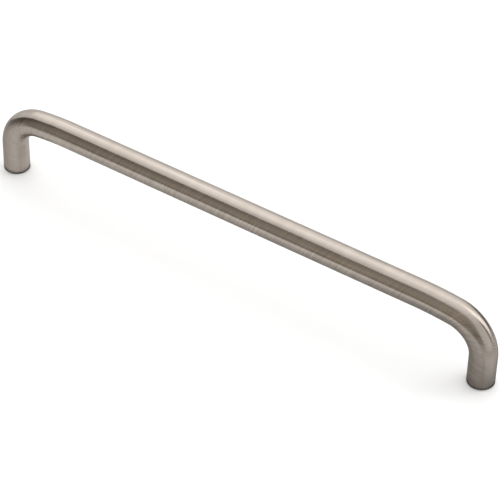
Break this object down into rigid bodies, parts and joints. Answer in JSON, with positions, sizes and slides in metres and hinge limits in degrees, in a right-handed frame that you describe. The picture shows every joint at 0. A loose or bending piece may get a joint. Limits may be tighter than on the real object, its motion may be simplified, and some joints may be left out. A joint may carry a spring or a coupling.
{
  "type": "d-bar cabinet pull",
  "caption": "Round-bar D-shaped cabinet pull bent from one satin nickel steel rod, fixed from behind through tapped holes in its feet.",
  "frame": {"origin": "midway between the centres of the two screw holes, on the mounting plane that both feet touch", "axes": "+X along the grip from the left foot to the right foot, +Z straight out from the door's face, +Y across the bar"},
  "size_m": [0.2132, 0.01, 0.0315],
  "materials": {
    "satin_nickel": "brushed steel bar with satin nickel plating"
  },
  "bodies": {
    "root": {"pull_bar": "satin_nickel"}
  },
  "joints": []
}
